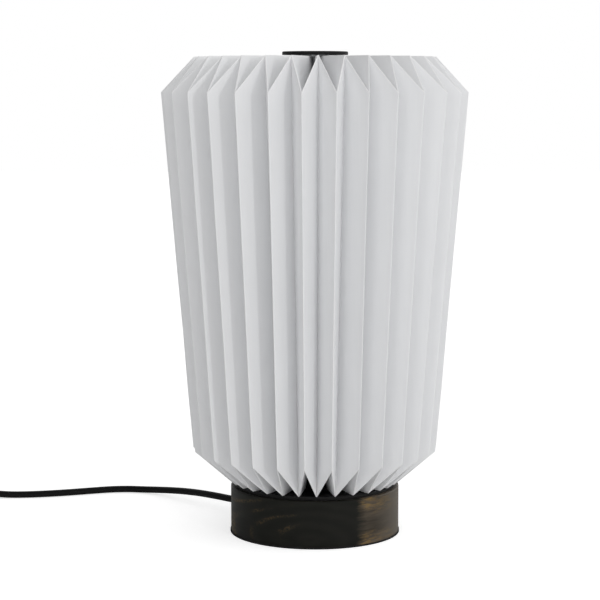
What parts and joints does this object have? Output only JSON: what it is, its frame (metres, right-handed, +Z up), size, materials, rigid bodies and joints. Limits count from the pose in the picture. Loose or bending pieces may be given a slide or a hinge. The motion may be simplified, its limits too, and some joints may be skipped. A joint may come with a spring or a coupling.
{
  "type": "pleated paper table lamp",
  "caption": "Table lamp with a pleated white paper shade folded in at the top and bottom, on a short round dark wooden base, with a black mains cord.",
  "frame": {"origin": "centre of the base's underside, on the surface that the lamp stands on", "axes": "+Z up along the lamp's axis; -Y is the front, the side that the picture shows; the cord leaves by the back left"},
  "size_m": [0.5731, 0.2471, 0.36],
  "materials": {
    "shade_paper": "matt white pleated paper, faintly translucent",
    "black_lacquer": "satin black lacquer",
    "zinc_steel": "bright zinc plate",
    "screw_steel": "plated screw steel",
    "black_felt": "black felt",
    "stained_wood": "turned wood, dark stain, satin varnish",
    "grey_plastic": "moulded nylon",
    "black_rubber": "soft black rubber",
    "cord_jacket": "black cord jacket",
    "brown_lead": "brown insulation",
    "blue_lead": "blue insulation",
    "black_bakelite": "moulded black thermoset",
    "white_ceramic": "unglazed white ceramic",
    "holder_brass": "plain brass",
    "solder_tin": "tinned contact",
    "black_glass": "black insulator",
    "bulb_nickel": "nickel plate",
    "white_plastic": "white moulded plastic",
    "board_white": "white circuit board",
    "opal_glass": "opal diffuser",
    "switch_black": "fine-textured black plastic",
    "rocker_black": "smooth black plastic",
    "tie_black": "black nylon tie",
    "plug_black": "moulded black plastic",
    "pin_nickel": "nickel-plated pins"
  },
  "bodies": {
    "base": {"base_pad": "black_felt", "bottom_cover": "zinc_steel", "cover_screws": "screw_steel", "wood_base": "stained_wood", "cord_bar": "grey_plastic", "cord_bar_screws": "screw_steel", "carrier_disc": "black_lacquer", "threaded_tube": "zinc_steel", "lock_washer": "zinc_steel", "lock_nut": "zinc_steel", "cord_bushing": "black_rubber", "inner_cord": "cord_jacket", "live_lead": "brown_lead", "neutral_lead": "blue_lead", "holder_cap": "black_bakelite", "holder_shell": "black_bakelite", "ceramic_insert": "white_ceramic", "screw_sleeve": "holder_brass", "centre_contact": "holder_brass", "terminals": "holder_brass", "terminal_screws": "screw_steel", "cord_to_switch": "cord_jacket", "switch_lower_case": "switch_black", "switch_upper_case": "switch_black", "switch_screws": "screw_steel", "switch_contacts": "holder_brass", "cord_to_coil": "cord_jacket", "cord_coil": "cord_jacket", "coil_tie": "tie_black", "cord_to_plug": "cord_jacket", "plug_body": "plug_black", "plug_pins": "pin_nickel"},
    "shade": {"pleated_shade": "shade_paper", "top_cap": "black_lacquer", "spacer_tube": "zinc_steel", "clamp_plate": "black_lacquer", "hub_nut": "zinc_steel"},
    "bulb": {"bulb_contact": "solder_tin", "bulb_insulator": "black_glass", "bulb_screw_cap": "bulb_nickel", "bulb_collar": "white_plastic", "bulb_board": "board_white", "bulb_globe": "opal_glass"},
    "rocker": {"switch_rocker": "rocker_black"}
  },
  "joints": [
    {"name": "shade_lift", "type": "slide", "parent": "base", "child": "shade", "axis": [0, 0, 1], "range_m": [0, 0.15]},
    {"name": "bulb_unscrew", "type": "slide", "parent": "base", "child": "bulb", "axis": [0, 0, 1], "range_m": [0, 0.026]},
    {"name": "rocker_switch", "type": "hinge", "parent": "base", "child": "rocker", "pos_m": [-0.328, 0.108, 0.0152], "axis": [0, 1, 0], "range_deg": [-7, 7]}
  ]
}
